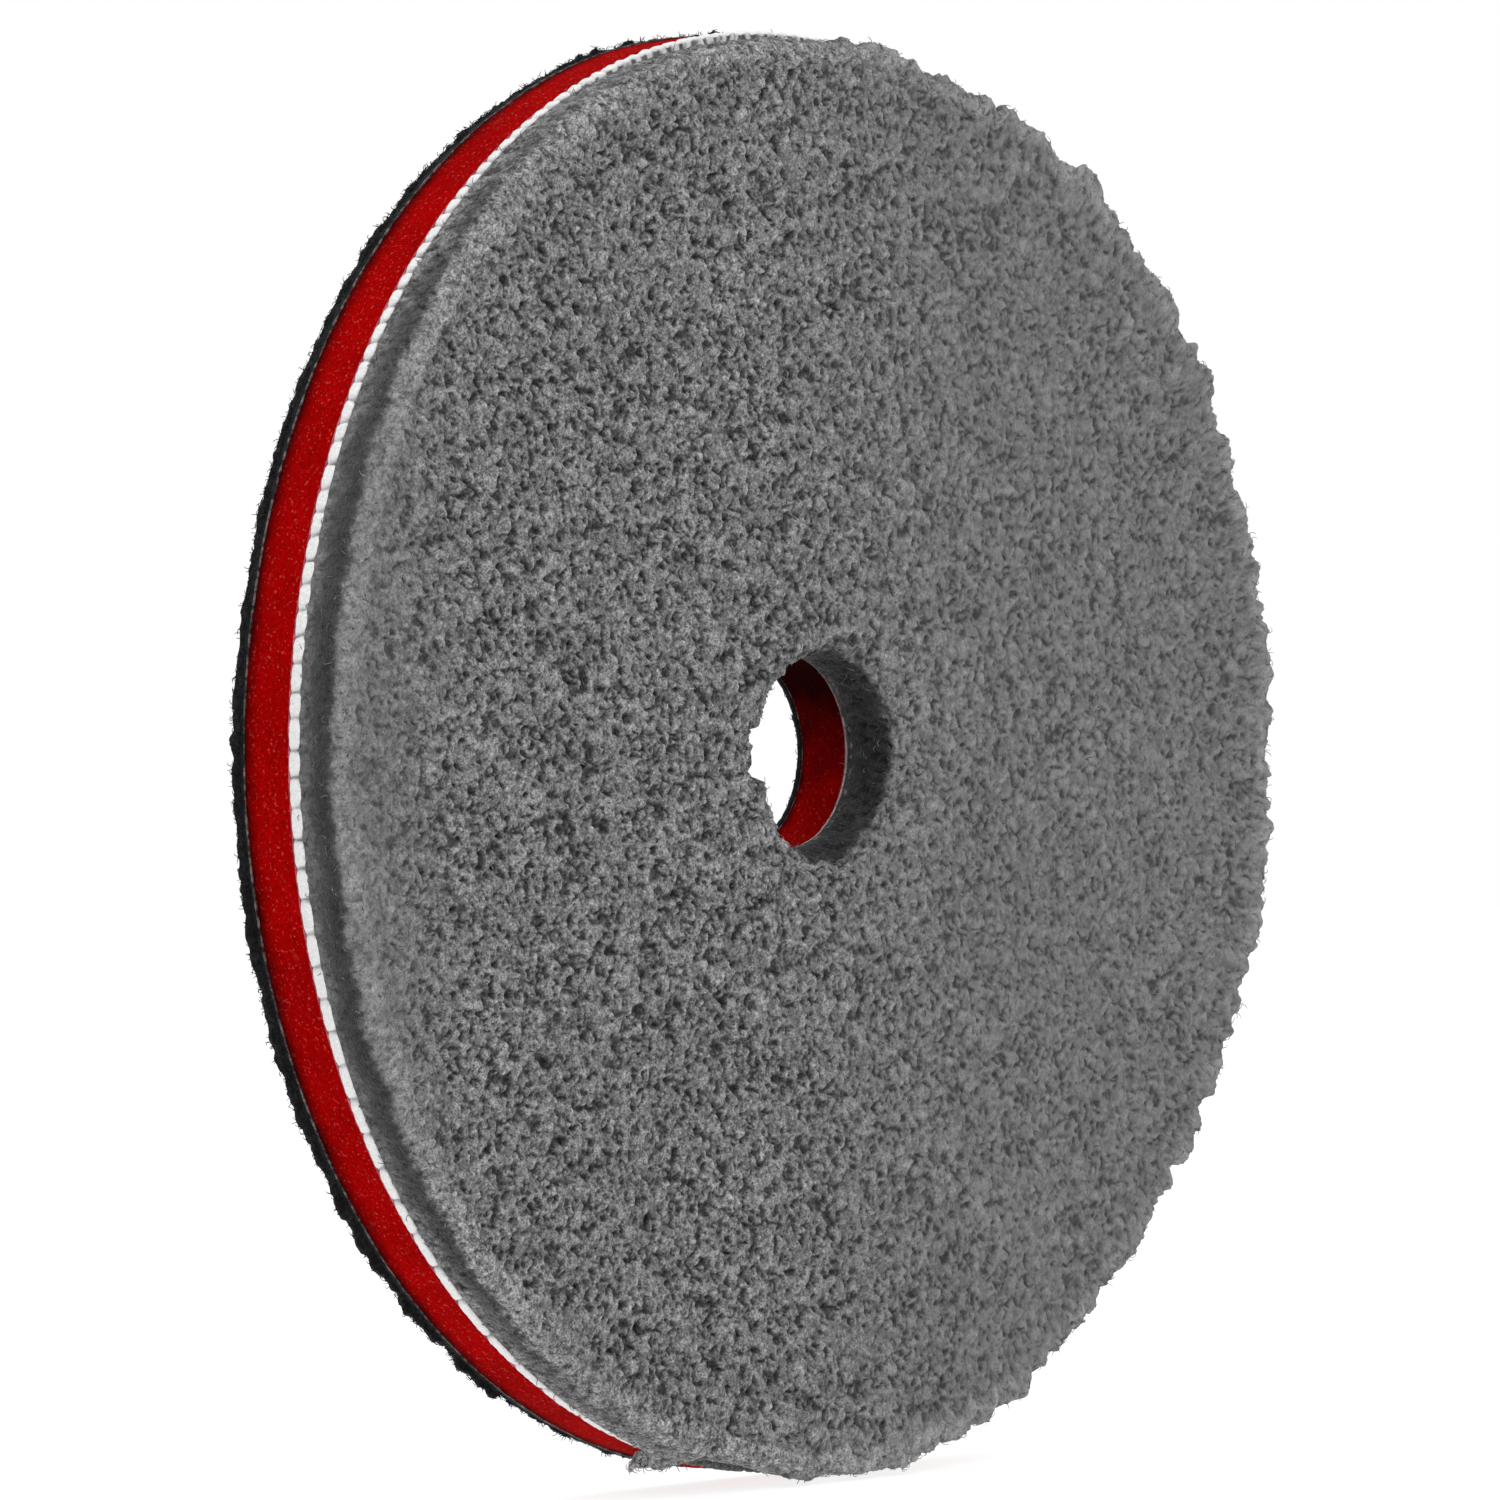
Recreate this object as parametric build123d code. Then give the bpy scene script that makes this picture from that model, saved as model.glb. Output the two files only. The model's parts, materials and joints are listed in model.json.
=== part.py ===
"""A laminated microfibre polishing pad with a hook-and-loop back: a wheel that spins about Y.

The working face looks towards -Y and the hook-and-loop face towards +Y. The origin is the wheel's
centre: on its axis, half way through its thickness. Every layer is die-cut to one outline after it
is bonded, so all the cut edges are flush. Only the two fibrous layers, the pile and the nap, bulge
past the cut.
"""
import os

from build123d import *

# Driving dimensions, in millimetres.
CUT_RADIUS = 75.0  # the die-cut outline
HOLE_RADIUS = 10.2  # the centring hole, through every layer
FOAM_THICKNESS = 5.7
FILM_THICKNESS = 0.2  # each hot-melt film, one on each side of the foam
GROUND_THICKNESS = 1.2  # the white knit that holds the roots of the pile
PILE_HEIGHT = 5.4
LOOP_CLOTH_THICKNESS = 0.5
NAP_HEIGHT = 0.8

# How the fibrous layers stand at their edges.
PILE_BULGE = 0.6  # past the cut outline, where the pile splays
PILE_RIM_ROUNDING = 2.0  # the outer shoulder of the working face
PILE_ROOT_ROUNDING = 0.5  # where the bulge tucks in above the knit
PILE_LIP_ROUNDING = 1.6  # around the hole
NAP_BULGE = 0.4
NAP_ROUNDING = 0.3

# Each layer's name and thickness, from the hook-and-loop face forward to the working face.
STACK = (
    ("loop_nap", NAP_HEIGHT),
    ("loop_backing_cloth", LOOP_CLOTH_THICKNESS),
    ("backing_adhesive_film", FILM_THICKNESS),
    ("foam_core", FOAM_THICKNESS),
    ("face_adhesive_film", FILM_THICKNESS),
    ("ground_knit", GROUND_THICKNESS),
    ("microfibre_pile", PILE_HEIGHT),
)
TOTAL_THICKNESS = sum(thickness for _, thickness in STACK)


def layer_faces():
    """Each layer's back and front, as Y coordinates."""
    faces = {}
    back = TOTAL_THICKNESS / 2
    for name, thickness in STACK:
        faces[name] = (back, back - thickness)
        back -= thickness
    return faces


def turned(section):
    """The solid that a section drawn in the XY plane makes when it turns about the Y axis."""
    return revolve(section, axis=Axis.Y, revolution_arc=360)


def section_between(inner, outer, back, front):
    """A rectangle from the inner to the outer radius, between a layer's two faces."""
    middle = ((inner + outer) / 2, (back + front) / 2)
    return Pos(*middle) * Rectangle(outer - inner, back - front)


def corners_at(section, x, y):
    """The section's corners at one place, to be rounded."""
    return [v for v in section.vertices() if abs(v.X - x) < 1e-6 and abs(v.Y - y) < 1e-6]


def flat_layer(back, front):
    """A layer whose edges are cut square: the foam, a film or a cloth."""
    return turned(section_between(HOLE_RADIUS, CUT_RADIUS, back, front))


def nap_layer(back, front):
    """The brushed loops on the back, which splay past the cut and round off at the rim."""
    rim = CUT_RADIUS + NAP_BULGE
    section = section_between(HOLE_RADIUS, rim, back, front)
    section = fillet(corners_at(section, rim, back), NAP_ROUNDING)
    section = fillet(corners_at(section, rim, front), NAP_ROUNDING)
    return turned(section)


def pile_layer(back, front):
    """The working pile: it splays past the cut, and rolls over at its rim and around the hole."""
    rim = CUT_RADIUS + PILE_BULGE
    section = section_between(HOLE_RADIUS, rim, back, front)
    section = fillet(corners_at(section, rim, front), PILE_RIM_ROUNDING)
    section = fillet(corners_at(section, rim, back), PILE_ROOT_ROUNDING)
    section = fillet(corners_at(section, HOLE_RADIUS, front), PILE_LIP_ROUNDING)
    return turned(section)


def build():
    """Every layer's solid, by node name."""
    makers = {"loop_nap": nap_layer, "microfibre_pile": pile_layer}
    return {
        name: makers.get(name, flat_layer)(back, front)
        for name, (back, front) in layer_faces().items()
    }


os.makedirs("parts", exist_ok=True)
for node, solid in build().items():
    export_step(solid, f"parts/{node}.step")
    print(node, "volume", round(solid.volume, 1))
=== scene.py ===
"""A laminated microfibre polishing pad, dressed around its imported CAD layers.

Lengths in this script are millimetres in the CAD frame, and become metres as a mesh is made. The pad
spins about Y: its working face looks towards -Y and its loop face towards +Y. Angles round the
pad run from +X towards +Z, so 90 degrees is its top.
"""
import json
import math

import bpy
import numpy as np
from mathutils import Matrix, Vector


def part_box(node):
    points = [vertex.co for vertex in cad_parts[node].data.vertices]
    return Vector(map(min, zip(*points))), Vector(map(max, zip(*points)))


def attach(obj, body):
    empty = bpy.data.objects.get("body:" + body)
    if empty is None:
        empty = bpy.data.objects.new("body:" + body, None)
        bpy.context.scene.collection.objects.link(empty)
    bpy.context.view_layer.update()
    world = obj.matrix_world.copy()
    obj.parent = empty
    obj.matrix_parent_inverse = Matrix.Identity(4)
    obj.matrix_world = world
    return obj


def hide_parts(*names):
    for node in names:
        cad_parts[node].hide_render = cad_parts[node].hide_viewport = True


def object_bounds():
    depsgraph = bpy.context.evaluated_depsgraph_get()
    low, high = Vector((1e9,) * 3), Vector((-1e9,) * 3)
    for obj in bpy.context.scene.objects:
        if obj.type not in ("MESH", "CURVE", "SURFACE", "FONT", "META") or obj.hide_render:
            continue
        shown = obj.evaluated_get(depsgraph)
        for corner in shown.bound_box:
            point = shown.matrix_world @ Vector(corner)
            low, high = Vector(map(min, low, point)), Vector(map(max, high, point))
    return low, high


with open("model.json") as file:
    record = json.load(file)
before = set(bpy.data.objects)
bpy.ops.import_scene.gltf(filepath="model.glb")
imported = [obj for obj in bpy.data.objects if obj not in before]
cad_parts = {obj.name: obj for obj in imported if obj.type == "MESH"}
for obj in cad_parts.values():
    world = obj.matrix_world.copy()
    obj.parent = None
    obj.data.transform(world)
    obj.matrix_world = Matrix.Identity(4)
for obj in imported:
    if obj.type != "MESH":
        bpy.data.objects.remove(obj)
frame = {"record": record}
cad_low, cad_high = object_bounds()

MM = 0.001
TURN = 2 * math.pi
BODY = "root"
SEED = 7


# ---------------------------------------------------------------- the frame's layers


def layer(node):
    """A CAD layer's outer radius, and its back and front as Y coordinates, in mm."""
    low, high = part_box(node)
    return high.z / MM, high.y / MM, low.y / MM


CUT_RADIUS, FOAM_BACK, FOAM_FRONT = layer("foam_core")
PILE_RADIUS, PILE_ROOT, PILE_FACE = layer("microfibre_pile")
_, NAP_BACK, NAP_FRONT = layer("loop_nap")
_, CLOTH_BACK, CLOTH_FRONT = layer("loop_backing_cloth")
_, BACK_FILM_BACK, BACK_FILM_FRONT = layer("backing_adhesive_film")
_, FACE_FILM_BACK, FACE_FILM_FRONT = layer("face_adhesive_film")
_, KNIT_BACK, KNIT_FRONT = layer("ground_knit")
HOLE_RADIUS = next(
    mount["dims"]["r_mm"] for mount in frame["record"]["mounts"] if mount["name"] == "centre_hole"
)
# The pad stands on the loose ends of its pile, a little below its solid edge.
LOOSE_ENDS = 0.6
FLOOR = cad_low.z / MM - LOOSE_ENDS

# Mesh spacing in mm: where it can be seen, and where another layer hides it. Rings that are spaced
# wider than FINE_ENOUGH count as hidden.
FINE = 0.25
FINE_EDGE = 0.22
FINE_ENOUGH = 1.0
HIDDEN = 6.0


# ---------------------------------------------------------------- repeatable noise


def lattice_random(cells, seed):
    """A repeatable number from 0 to 1 for each integer cell, the rows of an (n, 3) array."""
    x, y, z = (cells[:, i].astype(np.int64).astype(np.uint32) for i in range(3))
    h = x * np.uint32(73856093) ^ y * np.uint32(19349663) ^ z * np.uint32(83492791)
    h ^= np.uint32((seed * 2654435761) % 2**32)
    for shift, factor in ((15, 0x2C1B3C6D), (12, 0x297A2D39)):
        h ^= h >> np.uint32(shift)
        h *= np.uint32(factor)
    h ^= h >> np.uint32(15)
    return h / 2.0**32


def corners():
    """The eight corners of a unit cell."""
    return [np.array([i, j, k]) for i in (0, 1) for j in (0, 1) for k in (0, 1)]


def noise(points, scale, seed):
    """Smooth gradient noise from about -1 to 1, with features about scale mm across."""
    p = points / scale
    cell = np.floor(p).astype(np.int64)
    f = p - cell
    u = f * f * f * (f * (f * 6 - 15) + 10)
    total = np.zeros(len(p))
    for corner in corners():
        at = cell + corner
        gradient = np.stack([lattice_random(at, seed + i) * 2 - 1 for i in range(3)], 1)
        weight = np.prod(np.where(corner, u, 1 - u), axis=1)
        total += weight * np.einsum("ij,ij->i", gradient, f - corner)
    return total * 1.6


def noise_vector(points, scale, seed):
    """Three unrelated noises, as a displacement."""
    return np.stack([noise(points, scale, seed + 11 * i) for i in range(3)], 1)


def fbm(points, scale, seed, octaves=3):
    """Noise with finer noise on it."""
    parts = [noise(points, scale / 2**i, seed + 31 * i) / 2**i for i in range(octaves)]
    return sum(parts) / 1.6


def tufts(points, scale, seed):
    """Cellular noise: how far each point is from its nearest tuft and the next, and a number for
    the tuft."""
    p = points / scale
    cell = np.floor(p).astype(np.int64)
    first = np.full(len(p), 9.0)
    second = np.full(len(p), 9.0)
    name = np.zeros(len(p))
    for i in (-1, 0, 1):
        for j in (-1, 0, 1):
            for k in (-1, 0, 1):
                at = cell + np.array([i, j, k])
                spot = np.stack([lattice_random(at, seed + n) for n in range(3)], 1)
                d = np.linalg.norm(at + spot - p, axis=1)
                nearer = d < first
                second = np.where(nearer, first, np.minimum(second, d))
                name = np.where(nearer, lattice_random(at, seed + 5), name)
                first = np.where(nearer, d, first)
    return first, second, name


def smoothstep(low, high, x):
    """0 up to low and 1 from high on, with a smooth rise between. It falls if high is the lower."""
    t = np.clip((x - low) / (high - low), 0, 1)
    return t * t * (3 - 2 * t)


# ---------------------------------------------------------------- turned meshes


def outline(stations):
    """Samples a closed section that turns about Y. Each station is (radius, y, rounding, spacing of
    the edge that follows). Returns radius, y, the outward normal and the spacing, per sample."""
    at = [np.array(s[:2], float) for s in stations]
    edges = []
    for i, (_, _, rounding, spacing) in enumerate(stations):
        before, here, after = at[i - 1], at[i], at[(i + 1) % len(at)]
        into = (here - before) / np.linalg.norm(here - before)
        out = (after - here) / np.linalg.norm(after - here)
        edges.append((here, into, out, rounding, spacing))
    samples = []
    for i, (corner, into, out, rounding, spacing) in enumerate(edges):
        turn = math.acos(np.clip(into @ out, -1, 1))
        reach = rounding * math.tan(turn / 2)
        start, end = corner - into * reach, corner + out * reach
        if rounding:
            side = np.array([into[1], -into[0]])
            centre = start - side * rounding
            steps = max(3, round(rounding * turn / min(spacing, FINE)))
            for k in range(steps):
                a = turn * k / steps
                normal = side * math.cos(a) + into * math.sin(a)
                samples.append((*(centre + normal * rounding), *normal, min(spacing, FINE)))
        following, _, next_out, next_rounding, _ = edges[(i + 1) % len(edges)]
        next_turn = math.acos(np.clip(out @ next_out, -1, 1))
        stop = following - out * next_rounding * math.tan(next_turn / 2)
        length = np.linalg.norm(stop - end)
        steps = max(1, round(length / spacing))
        normal = np.array([out[1], -out[0]])
        for k in range(steps):
            here = end + (stop - end) * k / steps
            # A hidden edge starts with one fine ring, which keeps the rounding before it round.
            samples.append((*here, *normal, spacing if k else min(spacing, FINE)))
    r, y, nr, ny, spacing = np.array(samples).T
    return r, y, nr, ny, spacing


def stitched(count_a, offset_a, start_a, count_b, offset_b, start_b):
    """Triangles between two rings that start at an index, have a count and are turned by an
    offset, in steps."""
    middle_a = (np.arange(count_a) + 0.5 + offset_a) / count_a
    middle_b = (np.arange(count_b) + 0.5 + offset_b) / count_b
    around_a = np.concatenate([middle_a - 1, middle_a, middle_a + 1])
    around_b = np.concatenate([middle_b - 1, middle_b, middle_b + 1])
    on_b = (np.searchsorted(around_b, middle_a, "left") - count_b) % count_b
    on_a = (np.searchsorted(around_a, middle_b, "right") - count_a) % count_a
    a, b = np.arange(count_a), np.arange(count_b)
    from_a = np.stack([start_a + a, start_b + on_b, start_a + (a + 1) % count_a], 1)
    from_b = np.stack([start_b + b, start_b + (b + 1) % count_b, start_a + on_a], 1)
    return np.concatenate([from_a, from_b])


class Surface:
    """Points on a turned section, before they are pushed about: where they are, which way their
    face looks, and which way is away from the axis."""

    def __init__(self, stations, seed):
        r, y, nr, ny, spacing = outline(stations)
        rng = np.random.default_rng(seed)
        counts = np.maximum(12, np.round(TURN * r / spacing)).astype(int)
        offsets = rng.random(len(counts))
        starts = np.concatenate([[0], np.cumsum(counts)])
        ring = np.repeat(np.arange(len(counts)), counts)
        step = np.arange(starts[-1]) - starts[ring]
        self.angle = (step + offsets[ring]) / counts[ring] * TURN
        self.radius, self.y = r[ring], y[ring]
        cos, sin = np.cos(self.angle), np.sin(self.angle)
        self.points = np.stack([self.radius * cos, self.y, self.radius * sin], 1)
        self.normal = np.stack([nr[ring] * cos, ny[ring], nr[ring] * sin], 1)
        self.outward = np.stack([cos, np.zeros_like(cos), sin], 1)
        self.hidden = spacing[ring] > FINE_ENOUGH
        self.outer = self.radius > 0.5 * (HOLE_RADIUS + CUT_RADIUS)
        rings = len(counts)
        self.triangles = np.concatenate(
            [
                stitched(
                    counts[i], offsets[i], starts[i],
                    counts[(i + 1) % rings], offsets[(i + 1) % rings], starts[(i + 1) % rings],
                )
                for i in range(rings)
            ]
        )
        travel = np.concatenate([[0], np.cumsum(np.hypot(np.diff(r), np.diff(y)))])
        self.travel = travel[ring] / travel[-1]

    def walls(self):
        """1 on the cut walls that can be seen, and 0 on the faces."""
        return np.where(self.hidden, 0, np.abs(np.einsum("ij,ij->i", self.normal, self.outward)))


def cut_layer(back, front, rounding, spacing, seed):
    """A flat layer between two neighbours: only its hole's wall and its outer wall can be seen."""
    return Surface(
        [
            (HOLE_RADIUS, back, rounding, spacing),
            (HOLE_RADIUS, front, rounding, HIDDEN),
            (CUT_RADIUS, front, rounding, spacing),
            (CUT_RADIUS, back, rounding, HIDDEN),
        ],
        seed,
    )


def new_mesh(name, points, triangles, material, attributes=None, uv=None):
    """A mesh object from arrays, in mm, with smooth faces."""
    mesh = bpy.data.meshes.new(name)
    mesh.vertices.add(len(points))
    mesh.vertices.foreach_set("co", (points * MM).astype(np.float32).ravel())
    corner_count = 3 * len(triangles)
    mesh.loops.add(corner_count)
    mesh.loops.foreach_set("vertex_index", triangles.astype(np.int32).ravel())
    mesh.polygons.add(len(triangles))
    mesh.polygons.foreach_set("loop_start", np.arange(0, corner_count, 3, dtype=np.int32))
    mesh.update(calc_edges=True)
    mesh.validate()
    mesh.polygons.foreach_set("use_smooth", np.ones(len(mesh.polygons), bool))
    for key, values in (attributes or {}).items():
        made = mesh.attributes.new(key, "FLOAT", "POINT")
        made.data.foreach_set("value", values.astype(np.float32))
    if uv is not None:
        spread = mesh.uv_layers.new(name="OFBake")
        spread.data.foreach_set("uv", uv[triangles.ravel()].astype(np.float32).ravel())
    mesh.materials.append(material)
    made = bpy.data.objects.new(name, mesh)
    bpy.context.scene.collection.objects.link(made)
    return made


def disc_uv(surface):
    """Lays a turned surface out as a disc, along its section from the middle of the map outwards."""
    innermost, width, middle = 0.04, 0.45, 0.5
    reach = innermost + width * surface.travel
    return middle + np.stack([reach * np.cos(surface.angle), reach * np.sin(surface.angle)], 1)


def wall_uv(surface):
    """Lays a turned surface out flat: its turns across the map, and its section up it."""
    return np.stack([surface.angle / TURN, surface.travel], 1)


def dress(piece, replaced=None):
    """The piece rides on the pad's one body, and may stand for a CAD layer."""
    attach(piece, BODY)
    if replaced:
        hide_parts(replaced)
    return piece


# ---------------------------------------------------------------- materials


def grey(level):
    """A colour without a tint. As a factor, more than 1 makes a colour lighter."""
    return (level, level, level)


def node_material(name, roughness, sheen=0.0, sheen_roughness=0.5, specular=0.3):
    """A Principled material with its uniform values set, its node tree and its shader."""
    material = bpy.data.materials.new(name)
    material.use_nodes = True
    shader = material.node_tree.nodes["Principled BSDF"]
    shader.inputs["Roughness"].default_value = roughness
    shader.inputs["Specular IOR Level"].default_value = specular
    shader.inputs["Sheen Weight"].default_value = sheen
    shader.inputs["Sheen Roughness"].default_value = sheen_roughness
    return material, material.node_tree, shader


def add(tree, kind, **inputs):
    """A node with some of its inputs set, by name with _ for a space."""
    node = tree.nodes.new(kind)
    for key, value in inputs.items():
        node.inputs[key.replace("_", " ")].default_value = value
    return node


def speckle(tree, scale_mm, detail=3.0, roughness=0.55):
    """Noise whose features are about scale_mm across, in the pad's own coordinates."""
    place = tree.nodes.new("ShaderNodeTexCoord")
    node = add(tree, "ShaderNodeTexNoise", Scale=1 / (scale_mm * MM), Detail=detail, Roughness=roughness)
    tree.links.new(place.outputs["Object"], node.inputs["Vector"])
    return node.outputs["Fac"]


def attribute(tree, name):
    """A value that the mesh holds for each of its points."""
    node = tree.nodes.new("ShaderNodeAttribute")
    node.attribute_name = name
    return node.outputs["Fac"]


def ramp(tree, value, stops):
    """A colour ramp: stops of (position, (r, g, b))."""
    node = tree.nodes.new("ShaderNodeValToRGB")
    tree.links.new(value, node.inputs["Fac"])
    elements = node.color_ramp.elements
    while len(elements) < len(stops):
        elements.new(0.5)
    for element, (position, colour) in zip(elements, stops):
        element.position = position
        element.color = (*colour, 1)
    return node.outputs["Color"]


def blended(tree, factor, first, second, how="MIX"):
    """Two colours, mixed by a factor that is a number or another node's output."""
    node = tree.nodes.new("ShaderNodeMix")
    node.data_type = "RGBA"
    node.blend_type = how
    # The node's sockets for numbers and for colours share their names, so these go by number.
    for socket, value in ((node.inputs[0], factor), (node.inputs[6], first), (node.inputs[7], second)):
        if isinstance(value, (int, float)):
            socket.default_value = value
        elif isinstance(value, tuple):
            socket.default_value = (*value, 1)
        else:
            tree.links.new(value, socket)
    return node.outputs[2]


def multiplied(tree, colour, by):
    """Two colours multiplied."""
    return blended(tree, 1.0, colour, by, "MULTIPLY")


def bumped(tree, shader, height, depth_mm, strength=1.0):
    """Fine relief below the size of the mesh."""
    node = add(tree, "ShaderNodeBump", Strength=strength, Distance=depth_mm * MM)
    tree.links.new(height, node.inputs["Height"])
    tree.links.new(node.outputs["Normal"], shader.inputs["Normal"])


def microfibre_material():
    """Grey split fibre, with painted shade from pale at the tufts' tips to near black down between them,
    and plainer where the tufts are matted."""
    material, tree, shader = node_material("grey_microfibre", 1.0, sheen=0.15, specular=0.1)
    # The tip attribute is painted shade between the tufts and on the walls, with a painted highlight on
    # the rim's crest.
    depth = ramp(
        tree,
        attribute(tree, "tip"),
        [(0.0, (0.006, 0.006, 0.007)), (0.35, (0.06, 0.06, 0.061)), (0.6, (0.18, 0.18, 0.181)),
         (1.0, (0.36, 0.36, 0.362))],
    )
    sharp = attribute(tree, "sharp")
    fibres = ramp(
        tree, speckle(tree, 0.21, 3, 0.6), [(0.31, grey(0.30)), (0.69, grey(1.85))]
    )
    fibres = blended(tree, sharp, grey(1.0), fibres)
    curls = ramp(
        tree, speckle(tree, 0.45, 2, 0.6),
        [(0.30, grey(0.22)), (0.43, grey(0.86)), (0.68, grey(1.42))],
    )
    curls = blended(tree, sharp, grey(1.0), curls)
    patches = ramp(tree, speckle(tree, 14, 2), [(0.3, grey(0.95)), (0.7, grey(1.05))])
    colour = multiplied(tree, depth, fibres)
    colour = multiplied(tree, colour, curls)
    colour = multiplied(tree, colour, patches)
    tree.links.new(colour, shader.inputs["Base Color"])
    bumped(tree, shader, speckle(tree, 0.32, 4, 0.65), 0.3)
    return material


def foam_material():
    """Red polyurethane foam: velvety, with fine pale flecks of opened cells and a few scuffs."""
    material, tree, shader = node_material("red_foam", 1.0, specular=0.02)
    cells = ramp(
        tree, speckle(tree, 0.4, 4, 0.6),
        [(0.28, (0.18, 0.0, 0.0)), (0.5, (0.30, 0.0, 0.0)), (0.75, (0.39, 0.0, 0.001))],
    )
    patches = ramp(tree, speckle(tree, 6, 3), [(0.3, grey(0.85)), (0.7, grey(1.1))])
    colour = multiplied(tree, cells, patches)
    flecks = ramp(tree, speckle(tree, 0.35, 1.5, 0.5), [(0.62, grey(0)), (0.74, grey(0.45))])
    colour = blended(tree, flecks, colour, (0.62, 0.10, 0.09))
    scuffs = ramp(tree, speckle(tree, 3.2, 4, 0.6), [(0.66, grey(0)), (0.80, grey(0.3))])
    colour = blended(tree, scuffs, colour, (0.55, 0.12, 0.10))
    # Painted shadow beside the black back, and painted shade in the hole, carried by the shade
    # attribute.
    painted_shadow = ramp(tree, attribute(tree, "shade"), [(0.0, grey(1)), (1.0, grey(0.05))])
    colour = multiplied(tree, colour, painted_shadow)
    tree.links.new(colour, shader.inputs["Base Color"])
    bumped(tree, shader, speckle(tree, 0.3, 4), 0.10)
    return material


def knit_material():
    """White filament knit, with the grey roots of the pile where it is pulled in, and the same grey as
    painted shade in the hole.
    """
    material, tree, shader = node_material("white_knit", 0.9, specular=0.15)
    threads = ramp(tree, speckle(tree, 0.25, 3), [(0.3, grey(0.66)), (0.7, (0.86, 0.86, 0.855))])
    roots = ramp(tree, speckle(tree, 0.3, 3), [(0.3, grey(0.03)), (0.7, grey(0.17))])
    colour = blended(tree, attribute(tree, "root"), threads, roots)
    tree.links.new(colour, shader.inputs["Base Color"])
    bumped(tree, shader, speckle(tree, 0.2, 3), 0.1)
    return material


def film_material(name, pale, dark):
    """Milky hot-melt film, cloudy where it has soaked into the layers on each side."""
    material, tree, shader = node_material(name, 0.55, specular=0.3)
    cloud = ramp(tree, speckle(tree, 0.9, 4, 0.65), [(0.45, dark), (0.66, pale)])
    tree.links.new(cloud, shader.inputs["Base Color"])
    shader.inputs["Subsurface Weight"].default_value = 0.2
    shader.inputs["Subsurface Scale"].default_value = 0.3 * MM
    bumped(tree, shader, speckle(tree, 0.5, 3), 0.05)
    return material


def black_fabric(name, dark, light, grain, tips=False):
    """Black polyester yarn: near black, and greyer towards the tips of loops that catch the light."""
    material, tree, shader = node_material(name, 0.85, sheen=0.06, sheen_roughness=0.4, specular=0.12)
    colour = ramp(tree, speckle(tree, grain, 4, 0.6), [(0.35, dark), (0.75, light)])
    if tips:
        # Painted highlight: the raised loop tops are paler.
        standing = ramp(tree, attribute(tree, "tip"), [(0.1, grey(0.35)), (0.9, grey(1.9))])
        colour = multiplied(tree, colour, standing)
    tree.links.new(colour, shader.inputs["Base Color"])
    bumped(tree, shader, speckle(tree, grain * 0.6, 3), 0.15)
    return material


# ---------------------------------------------------------------- the microfibre face

# Places round the pad where the pile was combed or worn, or where its wall gets less painted shade: an
# angle in degrees, and how many degrees to each side of it.
COMBED_BACK = (83, 42)  # at the top, off the white knit
NEVER_FULL = (88, 32)
HANGING = (272, 35)  # at the foot, over the knit's edge
HANGING_LESS = (260.5, 8)
FULL_FOOT = (286, 22)
THIN_FOOT = (259.5, 7)
LOCK = (254.2, 2.5)  # one tuft that hangs down over the foam
# Where the rim's wall has less painted shade, at its foot and at its top.
LESS_SHADE_FOOT = (268, 58)
LESS_SHADE_TOP = (88, 78)
TORN_LIP = (181, 17)
TORN_LIP_ABOVE = (155, 24)
SLACK_LIP = (252, 55)
FULLEST = math.radians(24)  # where the pile stands fullest

# Sizes of what the fibres gather into, in mm across, from the smallest up.
GRAIN = 0.6
PIT = 0.66
CURL = 0.75
TUFT = 1.05
CRACK = 1.15
LUMP = 1.3
LEAN = 1.9
CLUMP = 4.5
ROLL = 19
# How the noises are drawn out, as factors for X, Y and Z: the fibres lie from side to side on the
# working face, and stand up the rim.
ALONG_FACE = [0.8, 1, 1]
UP_RIM = [1, 0.45, 1]


def pile_surface():
    """The pile's section: its hole's wall reaches back past the knit, and its rim is rounded."""
    return Surface(
        [
            (HOLE_RADIUS - 0.15, KNIT_BACK - 0.3, 0.2, FINE),
            (HOLE_RADIUS + 0.2, PILE_FACE, 1.4, FINE),
            (PILE_RADIUS - 0.3, PILE_FACE, 1.9, FINE),
            (CUT_RADIUS, PILE_ROOT - 0.05, 0.2, HIDDEN),
        ],
        SEED,
    )


def above_floor(points):
    """Flattens what would go through the floor that the pad stands on."""
    softness = 0.15
    points[:, 2] = FLOOR + np.logaddexp(0, (points[:, 2] - FLOOR) / softness) * softness
    return points


def billows(points, scale, seed):
    """Rounded lumps that meet in creases: 0 in a crease, up to about 1 on a lump."""
    return np.clip(np.abs(noise(points, scale, seed)) * 1.9, 0, 1) ** 0.75


def round_from(angle, degrees, spread):
    """1 at an angle round the pad, falling to 0 where it is spread degrees away."""
    away = np.abs((np.degrees(angle) - degrees + 180) % 360 - 180)
    return smoothstep(spread, 0.35 * spread, away)


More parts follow.
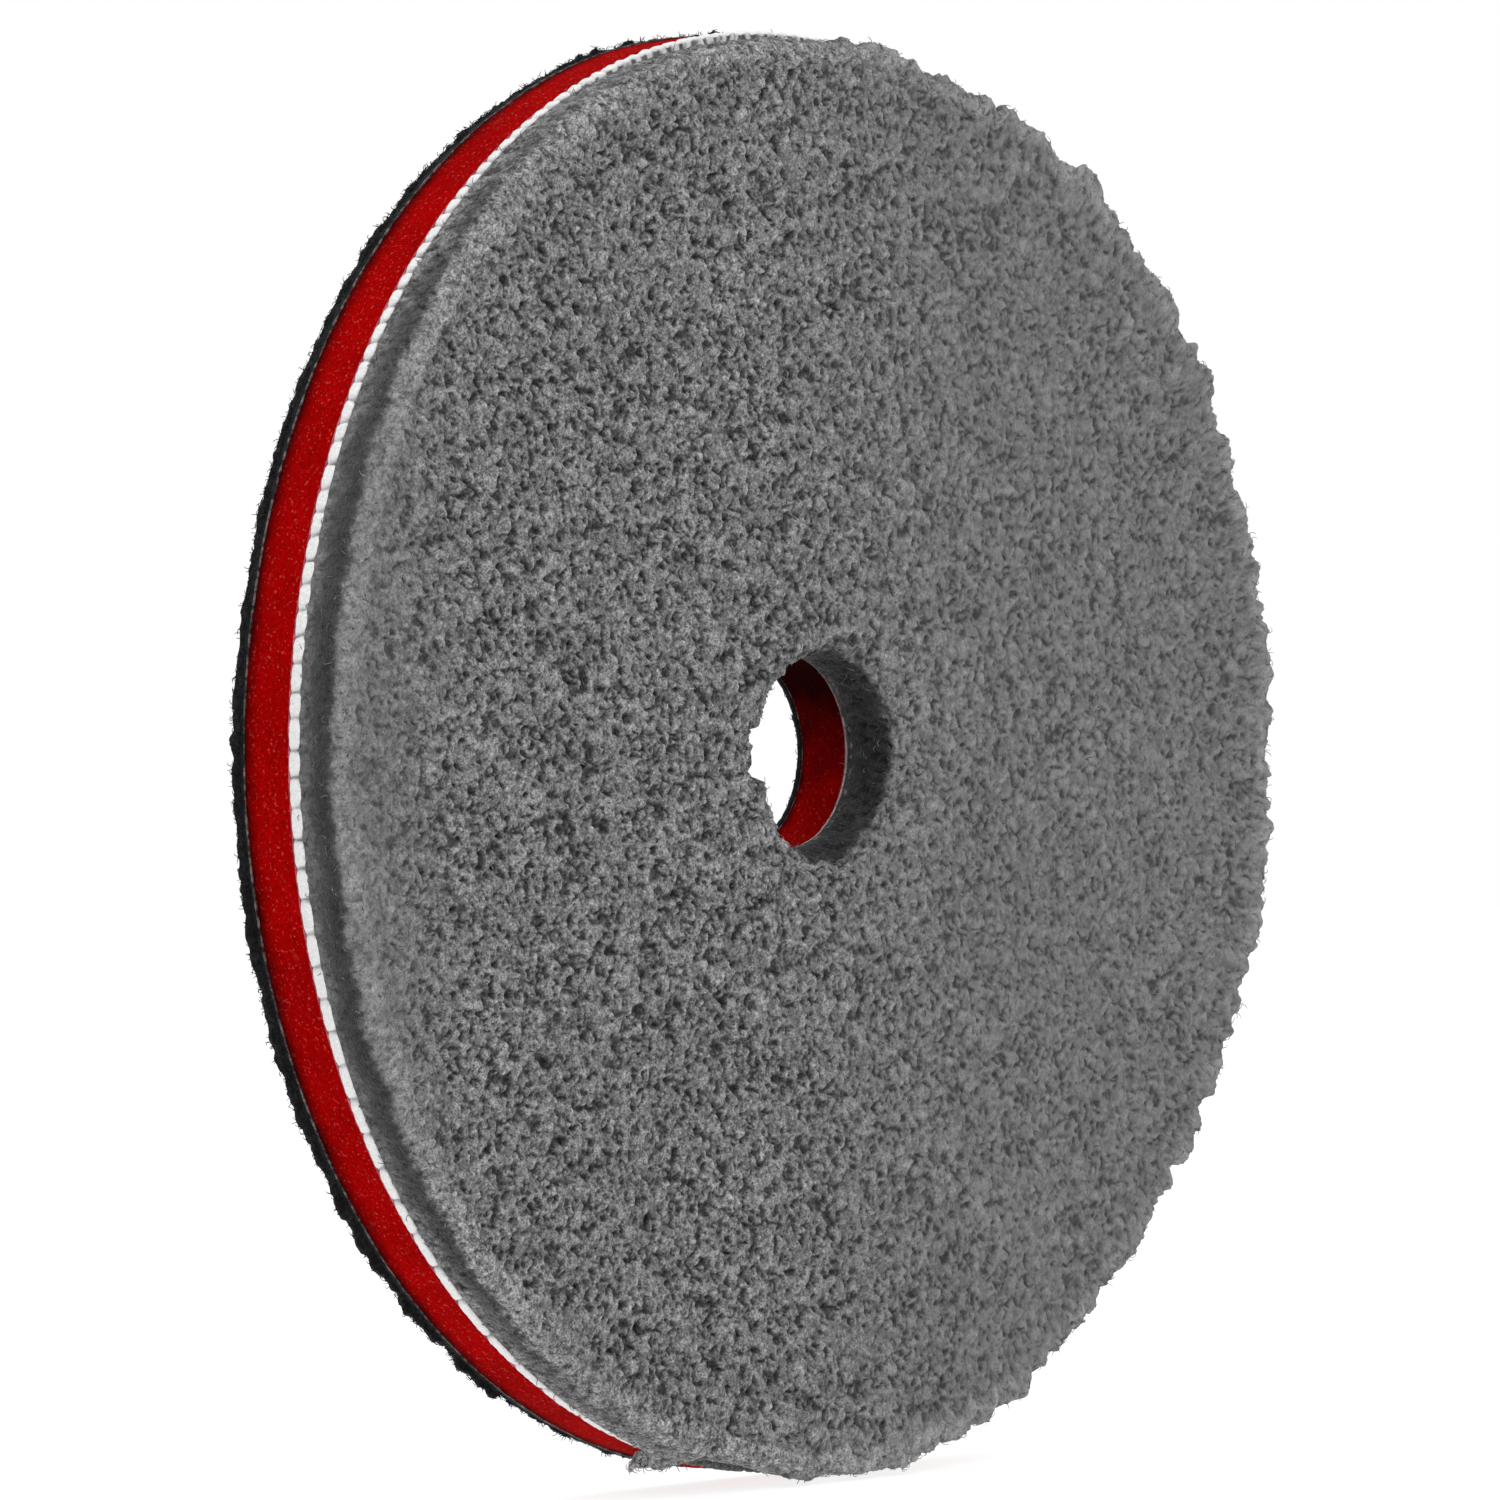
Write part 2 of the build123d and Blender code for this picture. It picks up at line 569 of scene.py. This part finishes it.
class Pile:
    """The pile's surface, and how its fibres gather at each point. Heights go from 0 at the roots to
    1 at the working face, and the other values from 0 to about 1 where something is so."""

    def __init__(self):
        surface = self.surface = pile_surface()
        self.outward, self.edge = surface.outward, surface.outward * CUT_RADIUS
        self.shown = np.where(surface.hidden, 0.0, 1.0)
        self.height = np.clip((PILE_ROOT - surface.y) / (PILE_ROOT - PILE_FACE), 0, 1)
        self.facing = np.clip(-surface.normal[:, 1], 0, 1)
        self.wall = 1 - self.facing
        self.rim = smoothstep(CUT_RADIUS - 5, CUT_RADIUS - 0.5, surface.radius)
        self.crest = smoothstep(CUT_RADIUS - 3.2, CUT_RADIUS - 1.8, surface.radius)
        self.crest *= smoothstep(0.74, 0.9, self.height)
        self.lip = smoothstep(HOLE_RADIUS + 4, HOLE_RADIUS, surface.radius) * self.shown
        self.loose = self.shown * smoothstep(-0.02, 0.22, self.height)
        # The rim splays on the right, and keeps the cut's line on the left.
        self.free = 0.15 + 0.85 * smoothstep(-0.5, 0.4, self.outward[:, 0])
        # The tufts are crisp left of the hole, and matted smoother on the right and by the left rim.
        x = surface.points[:, 0]
        self.right, self.left = smoothstep(-18, 34, x), smoothstep(-54, -72, x)
        self.sharp = 1 - 0.72 * self.right - 0.5 * self.left
        self.standing = 1 - 0.32 * self.right - 0.4 * self.left
        self.gather()
        self.moved = self.combed(self.clumped())
        self.over = self.rim * self.wall * self.shown * (1 - self.height)
        self.hang_over()
        self.moved = above_floor(self.moved)
        self.fray_lip()

    def near(self, place):
        """1 at a place round the pad, falling to 0 away from it."""
        return round_from(self.surface.angle, *place)

    def push_out(self, distance):
        """Moves each point away from the pad's axis."""
        self.moved += self.outward * distance[:, None]

    def gather(self):
        """Lumps and curls that meet in creases, tufts with gaps between them, pits and cracks."""
        p = self.surface.points
        curled = p + 0.42 * noise_vector(p, 1.35, 100) + 0.2 * noise_vector(p, 0.65, 140)
        strokes = curled * np.where(self.facing[:, None] > 0.5, ALONG_FACE, UP_RIM)
        self.lump = billows(strokes, LUMP, 200)
        self.curl = billows(strokes, CURL, 230)
        nearest, second, name = tufts(strokes, TUFT, 260)
        self.gap = smoothstep(0.0, 0.5, second - nearest)
        self.tuft = name - 0.5
        self.grain = noise(strokes, GRAIN, 380)
        self.clump = fbm(p, CLUMP, 300, 2)
        self.roll = noise(p, ROLL, 330)
        pit = smoothstep(0.12, 0.75, -(noise(strokes, PIT, 360) + 0.3 * noise(strokes, CRACK, 370)))
        crack = smoothstep(0.24, 0.05, np.abs(noise(strokes, CRACK, 365)))
        pit = np.maximum(pit, 0.9 * crack * smoothstep(-0.1, 0.4, noise(p, LUMP, 375)))
        self.pit = pit * ((1 - 0.4 * self.rim) * self.standing)

    def clumped(self):
        """The surface once its tufts stand up, sink in pits and lean."""
        p, normal = self.surface.points, self.surface.normal
        relief = 0.24 * self.lump + 0.17 * self.curl + 0.16 * self.gap + 0.14 * self.tuft
        relief = relief + 0.12 * self.grain - 0.50 * self.pit - 0.22
        relief *= self.standing + (1 - self.standing) * self.rim * self.free
        relief = relief + 0.05 * self.clump + 0.10 * self.roll - 0.18
        relief *= 1 - 0.5 * self.rim * (1 - self.free)
        lean = noise_vector(p, LEAN, 400)
        lean -= normal * np.einsum("ij,ij->i", lean, normal)[:, None]
        leaning = 0.3 * self.lump * self.loose
        return p + normal * (relief * self.loose)[:, None] + lean * leaning[:, None]

    def combed(self, moved):
        """Splays the rim, stands the pile fuller on the right, and combs it back at the top."""
        p, edge, angle = self.surface.points, self.edge, self.surface.angle
        moved[:, 1] -= 0.2 * self.crest * (0.7 + self.clump) * self.shown
        splay = 1.3 * noise(edge, 2.3, 430) + 0.6 * noise(p, 1.1, 440) + 1.5 * noise(edge, 5.5, 435)
        rim_tips = self.rim * self.height * self.loose
        fuller = smoothstep(0.1, 0.95, np.cos(angle - FULLEST)) * (1 - self.near(NEVER_FULL))
        outwards = rim_tips * (self.free * (splay + 0.15) + 1.75 * fuller)
        outwards -= 0.9 * self.rim * self.shown * self.near(COMBED_BACK)
        moved += self.outward * outwards[:, None]
        near_rim = smoothstep(CUT_RADIUS - 14, CUT_RADIUS - 3, self.surface.radius)
        moved[:, 1] -= 1.2 * self.shown * fuller * near_rim * self.height
        return moved

    def hang_over(self):
        """Near the pad's foot the pile hangs over the knit's edge, and one lock hangs lower still."""
        p, edge = self.surface.points, self.edge
        lock = self.near(LOCK) * self.rim * self.shown * smoothstep(0.8, 0.25, self.height)
        hang = self.near(HANGING) * np.clip(0.9 + 0.5 * noise(edge, 2.6, 450), 0, 1.4)
        hang *= 1 - self.near(HANGING_LESS)
        full = 0.6 * (self.near(FULL_FOOT) - self.near(THIN_FOOT)) * self.rim * self.shown
        fluff = 0.7 * noise(p, 1.1, 452) + 0.5 * noise(p, 0.55, 454) + 0.3
        self.push_out(0.22 * self.over * hang + full + (1.1 + fluff) * lock)
        self.moved[:, 1] += 1.2 * self.over * hang + 3.0 * lock

    def fray_lip(self):
        """The hole's lip has come loose on the left, which widens the gap there."""
        p = self.surface.points
        torn = np.minimum(1, 2 * self.near(TORN_LIP)) + 0.3 * self.near(TORN_LIP_ABOVE)
        torn *= np.clip(0.9 + 0.7 * noise(p, 0.9, 460), 0, 1.3)
        frayed = 0.45 * noise(self.outward * HOLE_RADIUS, 1.6, 470) + 0.35 * noise(p, 1.0, 475)
        self.push_out(self.lip * self.height * (3.2 * torn + 1.1 * self.near(SLACK_LIP) + frayed))

    def shade(self):
        """The painted shade on the walls: below the crest all round, and down inside the hole."""
        level = self.height + 0.10 * noise(self.edge, 4, 485)
        level += 0.05 * noise(self.surface.points, 0.9, 490)
        under_crest = smoothstep(0.90, 0.66, level) * (0.15 + 0.85 * smoothstep(0.08, 0.6, level))
        under_crest *= 1 + 0.2 * noise(self.edge, 6, 495)
        less_painted_shade = np.maximum(self.near(LESS_SHADE_FOOT), self.near(LESS_SHADE_TOP))
        rim_wall = smoothstep(0, 0.5, self.wall)
        rim_shade = 0.68 * (1 - 0.75 * less_painted_shade) * rim_wall * under_crest
        in_hole = smoothstep(1.05, 0.65, level) * (0.80 + 0.20 * smoothstep(0.0, 0.3, level))
        hole_shade = 0.93 * self.wall * in_hole * (0.97 + 0.2 * self.clump)
        return np.where(self.lip > 0, hole_shade, rim_shade)

    def look(self):
        """How near the tip of a tuft each point is, which sets how pale it is as painted shade down
        between the tufts and on the walls, with a painted highlight along the rim's crest; and how crisp
        it is.
        """
        usual = 0.54
        # Painted shade: paler on lumps, curls and tuft tops, darker down in the gaps and pits between
        # tufts.
        tip = 0.37 + 0.24 * self.lump + 0.16 * self.curl + 0.14 * self.gap
        tip = tip + 0.07 * self.tuft - 0.55 * self.pit
        tip = usual + (tip - usual) * self.standing + 0.02 * self.clump
        # Painted highlight along the crest of the rim.
        tip += 0.16 * self.crest * (0.9 + self.clump) - 0.01 - 0.025 * self.right - 0.03 * self.left
        tip *= 1 - self.shade()
        tip += 0.30 * self.over * np.maximum(self.near(HANGING), self.near(LOCK))
        return {"tip": np.clip(tip, 0, 1), "sharp": self.sharp}


def make_pile(pile, material):
    """The matted tufts, as one skin over the working face, the rim and the hole's wall."""
    surface = pile.surface
    piece = new_mesh(
        "microfibre_tufts", pile.moved, surface.triangles, material, pile.look(), disc_uv(surface)
    )
    return dress(piece, "microfibre_pile")


# ---------------------------------------------------------------- the foam and the ground knit


def make_foam(material):
    """The foam disc: its cut walls are a little uneven and pitted by opened cells."""
    surface = cut_layer(FOAM_BACK, FOAM_FRONT, 0.12, FINE_EDGE, SEED + 1)
    p = surface.points
    to_cell, _, _ = tufts(p + 0.15 * noise_vector(p, 0.5, 500), 0.55, 510)
    pits = smoothstep(0.35, 0.05, to_cell)
    uneven = 0.16 * noise(p, 9, 520) + 0.07 * fbm(p, 1.8, 530)
    moved = p + surface.normal * (surface.walls() * (uneven - 0.07 * pits - 0.05))[:, None]
    # Painted shadow darkens the foam beside the black back, and painted shade darkens it in the hole,
    # most of all at its top.
    painted_shadow_width = 2.2
    to_back = FOAM_BACK - surface.y + 0.25 * noise(p, 1.5, 540)
    painted_shadow = 0.95 * np.clip(1 - to_back / painted_shadow_width, 0, 1) ** 1.6
    # Painted shade in the hole, darker towards the hole's top.
    inside = np.clip(0.64 + 0.6 * surface.outward[:, 2] + 0.15 * noise(p, 3, 550), 0.1, 1)
    shade = np.where(surface.outer, painted_shadow, np.maximum(inside, painted_shadow))
    piece = new_mesh(
        "foam_disc", moved, surface.triangles, material, {"shade": shade}, wall_uv(surface)
    )
    return dress(piece, "foam_core")


# How many times the pile's roots cross the knit's cut edge in a turn. The knit's rows run one way,
# so the cut meets more of them on one side of the pad than on the other.
ROOTS_PER_TURN = 150
ROOTS_MORE = 90
ROOTS_CLOSEST = math.radians(100)

# Places round the pad, as for the pile: where the knit folds forward over the foot of the pile, where
# its roots are cleaner, and where grey fibre covers it.
FOLDED = (181, 36)
CLEAN = (88, 40)
BARE = (178, 24)
COVERED = (268, 22)


def root_distance(surface, forward, stray):
    """How far each point is, in mm round the edge, from where the nearest root crosses it."""
    from_closest = surface.angle - ROOTS_CLOSEST
    cycles = ROOTS_PER_TURN * surface.angle / TURN + ROOTS_MORE / TURN * np.sin(from_closest)
    per_mm = (ROOTS_PER_TURN + ROOTS_MORE * np.cos(from_closest)) / (TURN * CUT_RADIUS)
    phase = np.mod(cycles + 0.16 * stray + 0.25 * (forward - 0.5) * per_mm, 1.0)
    no_roots = 1.2
    return np.where(surface.outer, np.minimum(phase, 1 - phase) / per_mm, no_roots)


def make_knit(material):
    """The white ground knit: its cut edge bulges between the roots of the pile, which nip it in."""
    surface = Surface(
        [
            (HOLE_RADIUS, KNIT_BACK, 0.25, FINE_EDGE),
            (HOLE_RADIUS, KNIT_FRONT, 0.25, HIDDEN),
            (CUT_RADIUS, KNIT_FRONT, 0.35, FINE_EDGE * 0.8),
            (CUT_RADIUS, KNIT_BACK, 0.25, HIDDEN),
        ],
        SEED + 2,
    )
    p = surface.points
    forward = (KNIT_BACK - surface.y) / (KNIT_BACK - KNIT_FRONT)
    angle, outer = surface.angle, surface.outer
    nips = root_distance(surface, forward, noise(p, 2.2, 600))
    nip = np.exp(-((nips / (0.14 + 0.2 * forward**3)) ** 2)) * (0.75 + 0.5 * noise(p, 1.7, 610))
    swell = smoothstep(0.0, 0.8, nips)
    bulge = 0.20 * swell - 0.30 * nip + 0.10 * noise(p, 0.55, 620) - 0.10
    moved = p + surface.outward * (np.where(outer, 1, -1) * surface.walls() * bulge)[:, None]
    rolled = np.where(surface.hidden, 0, smoothstep(0.55, 1.0, forward))
    moved[:, 1] += 0.20 * rolled * (1 - swell) + 0.05 * rolled * noise(p, 1.3, 640)
    folded = np.where(outer & ~surface.hidden, smoothstep(0.3, 1.0, forward), 0)
    moved[:, 1] -= folded * (0.05 + 0.4 * round_from(angle, *FOLDED))
    covered = 1.05 - 0.08 * round_from(angle, *BARE) - 0.9 * round_from(angle, *COVERED)
    matted = smoothstep(covered - 0.08, covered + 0.08, forward + 0.3 * nip + 0.16 * noise(p, 0.6, 650))
    stained = 0.85 * nip * (1 - 0.45 * round_from(angle, *CLEAN))
    # Painted shade in the hole: the roots' grey, darkest at the top and towards the pile.
    in_hole = 0.45 + 0.5 * surface.outward[:, 2] + smoothstep(0.1, 0.4, forward)
    in_hole += 0.3 * noise(p, 1.2, 660)
    root = np.clip(np.where(outer, stained + matted, in_hole), 0, 1)
    piece = new_mesh(
        "white_ground_knit", moved, surface.triangles, material, {"root": root}, wall_uv(surface)
    )
    return dress(piece, "ground_knit")


# ---------------------------------------------------------------- the films and the black back


def make_film(name, node, back, front, stands_out, material):
    """A thin adhesive film. Its cut edge wanders in and out of the layers' edge, and it is set back
    a little in the hole."""
    surface = cut_layer(back, front, 0.04, FINE, SEED + 3)
    set_back = 0.15
    around = surface.outward * surface.radius[:, None]
    wander = np.where(surface.hidden, 0, stands_out + 0.10 * fbm(around, 1.6, 700))
    outwards = np.where(surface.outer, wander, set_back)
    moved = surface.points + surface.outward * outwards[:, None]
    piece = new_mesh(name, moved, surface.triangles, material, uv=wall_uv(surface))
    return dress(piece, node)


def make_loop_cloth(material):
    """The knitted cloth behind the loops: its edge shows the ends of its rows."""
    surface = cut_layer(CLOTH_BACK, CLOTH_FRONT, 0.12, FINE_EDGE, SEED + 4)
    p = surface.points
    ends = np.where(surface.hidden, 0, 0.10 * noise(p, 0.9, 800) + 0.06 * fbm(p, 3, 810) + 0.04)
    moved = p + surface.outward * (np.where(surface.outer, 1, -1) * ends)[:, None]
    piece = new_mesh("loop_cloth", moved, surface.triangles, material, uv=wall_uv(surface))
    return dress(piece, "loop_backing_cloth")


# Places round the pad, as for the pile: where the loops stand out past the cut, and where they don't.
LOOPS_PROUD = (207, 42)
LOOPS_SHORT_TOP = (92, 50)
LOOPS_SHORT_FOOT = (273, 30)
# The loops are brushed up and down, which draws the noises out that way.
BRUSHED = np.array([1, 1, 0.55])
BRUSHED_LESS = np.array([1, 1, 0.6])


def make_nap(material):
    """The brushed loops as a mat: a low matted back, and a ragged edge that stands past the cut.
    Returns its surface, and where the points of the surface went."""
    surface = Surface(
        [
            (HOLE_RADIUS + 0.9, NAP_BACK, 0.2, FINE),
            (HOLE_RADIUS + 0.1, NAP_FRONT - 0.05, 0.05, HIDDEN),
            (CUT_RADIUS + 0.2, NAP_FRONT - 0.05, 0.15, FINE),
            (CUT_RADIUS + 0.2, NAP_BACK, 0.3, 0.42),
        ],
        SEED + 5,
    )
    p = surface.points
    shown = np.where(surface.hidden, 0.0, 1.0)
    curled = p + 0.4 * noise_vector(p, 1.5, 900)
    back = np.clip(surface.normal[:, 1], 0, 1)
    lump = billows(curled * BRUSHED, 1.3, 910)
    fine = billows(curled * BRUSHED_LESS, 0.8, 915)
    relief = 0.30 * lump + 0.16 * fine + 0.14 * fbm(p, 4, 920, 2) - 0.35
    moved = p + surface.normal * (shown * back * relief)[:, None]
    wall = shown * (1 - back)
    edge = surface.outward * CUT_RADIUS
    ragged = 0.55 * noise(edge, 3.1, 930) + 0.35 * noise(edge, 7, 935) + 0.35 * noise(curled, 1.1, 940)
    ragged += 0.6 * smoothstep(0.25, 0.8, noise(edge, 3.7, 945)) + 0.2
    ragged += 0.45 * round_from(surface.angle, *LOOPS_PROUD)
    ragged -= 0.15 * round_from(surface.angle, *LOOPS_SHORT_TOP)
    ragged -= 0.25 + 0.9 * round_from(surface.angle, *LOOPS_SHORT_FOOT)
    outwards = wall * np.where(surface.outer, ragged, 0.2 * np.abs(ragged))
    moved += surface.outward * outwards[:, None]
    moved[:, 1] += wall * 0.15 * noise(curled, 1.6, 950)
    moved = above_floor(moved)
    # Painted highlight on the tops of the lumps, and tone that differs at random.
    tip = np.clip(0.15 + 0.45 * lump + 0.35 * fine + 0.2 * noise(p, 7, 960), 0, 1)
    piece = new_mesh("nap_mat", moved, surface.triangles, material, {"tip": tip}, disc_uv(surface))
    dress(piece, "loop_nap")
    return surface, moved


# ---------------------------------------------------------------- fibres


def strands(name, lines, radii, material, attributes):
    """Thin three-sided fibres along lines, an (n, steps, 3) array in mm, closed at both ends. Each
    attribute has one value for each line."""
    sides = 3
    count, steps, _ = lines.shape
    along = np.gradient(lines, axis=1)
    along /= np.linalg.norm(along, axis=2, keepdims=True) + 1e-9
    helper = np.where(np.abs(along[:, :, 1:2]) < 0.9, [[[0.0, 1.0, 0.0]]], [[[1.0, 0.0, 0.0]]])
    side = np.cross(along, helper)
    side /= np.linalg.norm(side, axis=2, keepdims=True)
    over = np.cross(side, along)
    angles = np.arange(sides) / sides * TURN
    ring = side[:, :, None] * np.cos(angles)[:, None] + over[:, :, None] * np.sin(angles)[:, None]
    points = lines[:, :, None] + ring * radii[None, :, None, None]
    points = points.reshape(-1, 3)
    first = (np.arange(count) * steps * sides)[:, None]
    step, k = (g.ravel() for g in np.meshgrid(np.arange(steps - 1), np.arange(sides), indexing="ij"))
    a, b = step * sides + k, step * sides + (k + 1) % sides
    quads = np.concatenate([np.stack([a, b, b + sides], 1), np.stack([a, b + sides, a + sides], 1)])
    end = (steps - 1) * sides
    caps = np.array([[0, 2, 1], [end, end + 1, end + 2]])
    shape = np.concatenate([quads, caps])
    triangles = (first[:, :, None] + shape[None]).reshape(-1, 3)
    spread = {key: np.repeat(values, steps * sides) for key, values in attributes.items()}
    seen_from_front = points[:, [0, 2]]
    uv = 0.5 + 0.48 * seen_from_front / np.abs(seen_from_front).max()
    return new_mesh(name, points, triangles, material, spread, uv)


def unit(vectors):
    """Vectors made 1 long."""
    return vectors / (np.linalg.norm(vectors, axis=-1, keepdims=True) + 1e-9)


def curls(roots, normals, rng, length, lift, bend, steps):
    """Curly lines that start at roots, lie mostly along the surface, and arch off it."""
    count = len(roots)
    heading = unit(np.cross(normals, unit(rng.normal(size=(count, 3)))))
    across = np.cross(normals, heading)
    reach = length * rng.uniform(0.6, 1.3, count)
    turn = bend * rng.uniform(-1, 1, count)
    rise = lift * rng.uniform(0.3, 1.2, count)
    t = np.linspace(0, 1, steps)[None, :, None]
    forward = heading[:, None] * (reach[:, None, None] * np.sin(1.2 * t) / math.sin(1.2))
    aside = across[:, None] * (turn[:, None, None] * reach[:, None, None] * t**2)
    arch = normals[:, None] * (rise[:, None, None] * np.sin(math.pi * np.clip(0.15 + 0.85 * t, 0, 1)))
    return roots[:, None] + forward + aside + arch


def stood_on_floor(lines):
    """Keeps fibres above the floor."""
    clearance = 0.05
    lines[:, :, 2] = np.maximum(lines[:, :, 2], FLOOR + clearance)
    return lines


def chosen(weight, count, rng):
    """Indices of count points, picked as often as their weights say."""
    return np.searchsorted(np.cumsum(weight), rng.random(count) * weight.sum())


# How many fibres, and their radii in mm from root to tip.
PILE_FIBRES = 7600
PILE_FIBRE_RADII = np.array([0.045, 0.045, 0.04, 0.032, 0.02])
NAP_LOOPS = 16000
NAP_LOOP_RADII = np.array([0.045, 0.045, 0.04, 0.02])


def make_pile_fibres(pile, material):
    """Loose curly fibres that stand off the pile, thickest about its rim and the hole's lip."""
    rng = np.random.default_rng(SEED + 20)
    surface = pile.surface
    height = (PILE_ROOT - surface.y) / (PILE_ROOT - PILE_FACE)
    rim = smoothstep(CUT_RADIUS - 4, CUT_RADIUS - 1, surface.radius)
    lip = smoothstep(HOLE_RADIUS + 2, HOLE_RADIUS + 0.5, surface.radius)
    lock = pile.near(LOCK) * rim * (height < 0.5)
    weight = np.where(surface.hidden, 0, 1 + 5 * rim * (0.25 + height) + 4 * lip + 30 * lock)
    at = chosen(weight, PILE_FIBRES, rng)
    roots = pile.moved[at] - 0.15 * surface.normal[at]
    leaning = unit(surface.normal[at] + 0.5 * rng.normal(size=(len(at), 3)))
    lines = stood_on_floor(curls(roots, leaning, rng, 0.8, 0.28, 0.7, len(PILE_FIBRE_RADII)))
    # Tone that differs at random, with painted shade on fibres rooted low on the walls.
    tip = np.clip(0.25 + 0.5 * rng.random(len(at)) - 0.2 * (1 - height[at]), 0, 1)
    look = {"tip": tip, "sharp": np.ones(len(at))}
    piece = strands("microfibre_fibres", lines, PILE_FIBRE_RADII, material, look)
    return dress(piece)


def make_nap_loops(surface, moved, material):
    """The hook-and-loop back's loops: small arches brushed flat, and frayed ends about the rim."""
    rng = np.random.default_rng(SEED + 21)
    outer = smoothstep(CUT_RADIUS - 1.5, CUT_RADIUS, surface.radius)
    weight = np.where(surface.hidden, 0, 1 + 3 * outer)
    at = chosen(weight, NAP_LOOPS, rng)
    roots = moved[at] - 0.12 * surface.normal[at]
    leaning = unit(surface.normal[at] + 0.35 * rng.normal(size=(len(at), 3)))
    lines = stood_on_floor(curls(roots, leaning, rng, 0.55, 0.2, 0.9, len(NAP_LOOP_RADII)))
    tip = 0.3 + 0.7 * rng.random(len(at))
    return dress(strands("nap_loops", lines, NAP_LOOP_RADII, material, {"tip": tip}))


# ---------------------------------------------------------------- stage, light and camera


def make_floor():
    """A plain pale floor under the pad."""
    reach = 3.0
    clearance = 0.05
    mesh = bpy.data.meshes.new("floor")
    level = (FLOOR - clearance) * MM
    mesh.from_pydata(
        [(-reach, -reach, level), (reach, -reach, level), (reach, reach, level), (-reach, reach, level)],
        [],
        [(0, 1, 2, 3)],
    )
    floor = bpy.data.objects.new("floor", mesh)
    bpy.context.scene.collection.objects.link(floor)
    material, _, shader = node_material("floor_white", 0.9)
    shader.inputs["Base Color"].default_value = (0.35, 0.35, 0.35, 1)
    shader.inputs["Emission Color"].default_value = (1, 1, 1, 1)
    shader.inputs["Emission Strength"].default_value = 0.8
    mesh.materials.append(material)


def make_world(brightness):
    """Soft white light from all round; where the camera sees it, plain white."""
    world = bpy.data.worlds.new("studio")
    bpy.context.scene.world = world
    world.use_nodes = True
    tree = world.node_tree
    background = tree.nodes["Background"]
    background.inputs["Color"].default_value = (1, 1, 1, 1)
    path = tree.nodes.new("ShaderNodeLightPath")
    level = tree.nodes.new("ShaderNodeMapRange")
    level.inputs["To Min"].default_value = brightness
    level.inputs["To Max"].default_value = 1.0
    tree.links.new(path.outputs["Is Camera Ray"], level.inputs["Value"])
    tree.links.new(level.outputs["Result"], background.inputs["Strength"])


def softbox(name, place, size, power):
    """A square area light at a place, in metres, that faces the pad."""
    data = bpy.data.lights.new(name, "AREA")
    data.size = size
    data.energy = power
    light = bpy.data.objects.new(name, data)
    light.location = place
    light.rotation_euler = (-Vector(place)).to_track_quat("-Z", "Y").to_euler()
    bpy.context.scene.collection.objects.link(light)


# The camera stands to the front left, level with the pad's middle. It is rolled a little, and aimed
# a little to one side of the pad's axis.
CAMERA_AZIMUTH = math.radians(-50.18)
CAMERA_ELEVATION = math.radians(-0.24)
CAMERA_ROLL = math.radians(-0.26)
CAMERA_DISTANCE = 0.8
CAMERA_LENS = 183.6
CAMERA_SENSOR = 36
AIM_RIGHT = -3.33 * MM
AIM_UP = 0.16 * MM


def make_camera():
    """The photo's camera, with the pad's middle just off the middle of its view."""
    level = math.cos(CAMERA_ELEVATION)
    back = Vector(
        (math.sin(CAMERA_AZIMUTH) * level, -math.cos(CAMERA_AZIMUTH) * level, math.sin(CAMERA_ELEVATION))
    )
    right = Vector((math.cos(CAMERA_AZIMUTH), math.sin(CAMERA_AZIMUTH), 0))
    up = back.cross(right)
    centre = Vector((0, FOAM_FRONT * MM, 0))
    place = centre + back * CAMERA_DISTANCE
    aim = centre + right * AIM_RIGHT + up * AIM_UP
    data = bpy.data.cameras.new("camera")
    data.lens = CAMERA_LENS
    data.sensor_width = CAMERA_SENSOR
    data.clip_start, data.clip_end = 0.05, 20
    camera = bpy.data.objects.new("camera", data)
    turned = (aim - place).to_track_quat("-Z", "Y").to_matrix() @ Matrix.Rotation(CAMERA_ROLL, 3, "Z")
    camera.matrix_world = Matrix.Translation(place) @ turned.to_4x4()
    bpy.context.scene.collection.objects.link(camera)
    bpy.context.scene.camera = camera


# ---------------------------------------------------------------- everything made

microfibre = microfibre_material()
black_loops = black_fabric(
    "black_loops", dark=(0.002, 0.002, 0.0025), light=(0.017, 0.018, 0.019), grain=0.4, tips=True
)
black_cloth = black_fabric(
    "black_cloth", dark=(0.003, 0.003, 0.004), light=(0.02, 0.021, 0.022), grain=0.5
)
pile = Pile()
make_pile(pile, microfibre)
make_foam(foam_material())
make_knit(knit_material())
make_film(
    "face_film", "face_adhesive_film", FACE_FILM_BACK, FACE_FILM_FRONT, stands_out=-0.1,
    material=film_material("face_film", pale=(0.55, 0.18, 0.2), dark=(0.30, 0.03, 0.05)),
)
make_film(
    "backing_film", "backing_adhesive_film", BACK_FILM_BACK, BACK_FILM_FRONT, stands_out=0.05,
    material=film_material("backing_film", pale=(0.20, 0.16, 0.16), dark=(0.015, 0.003, 0.004)),
)
make_loop_cloth(black_cloth)
nap_base, nap_points = make_nap(black_loops)
make_pile_fibres(pile, microfibre)
make_nap_loops(nap_base, nap_points, black_loops)

make_floor()
make_world(brightness=0.62)
softbox("key", place=(-0.55, -1.1, 1.0), size=0.9, power=9)
softbox("top", place=(-0.1, 0.1, 1.4), size=0.9, power=8)
make_camera()
bpy.context.scene.view_settings.view_transform = "Standard"
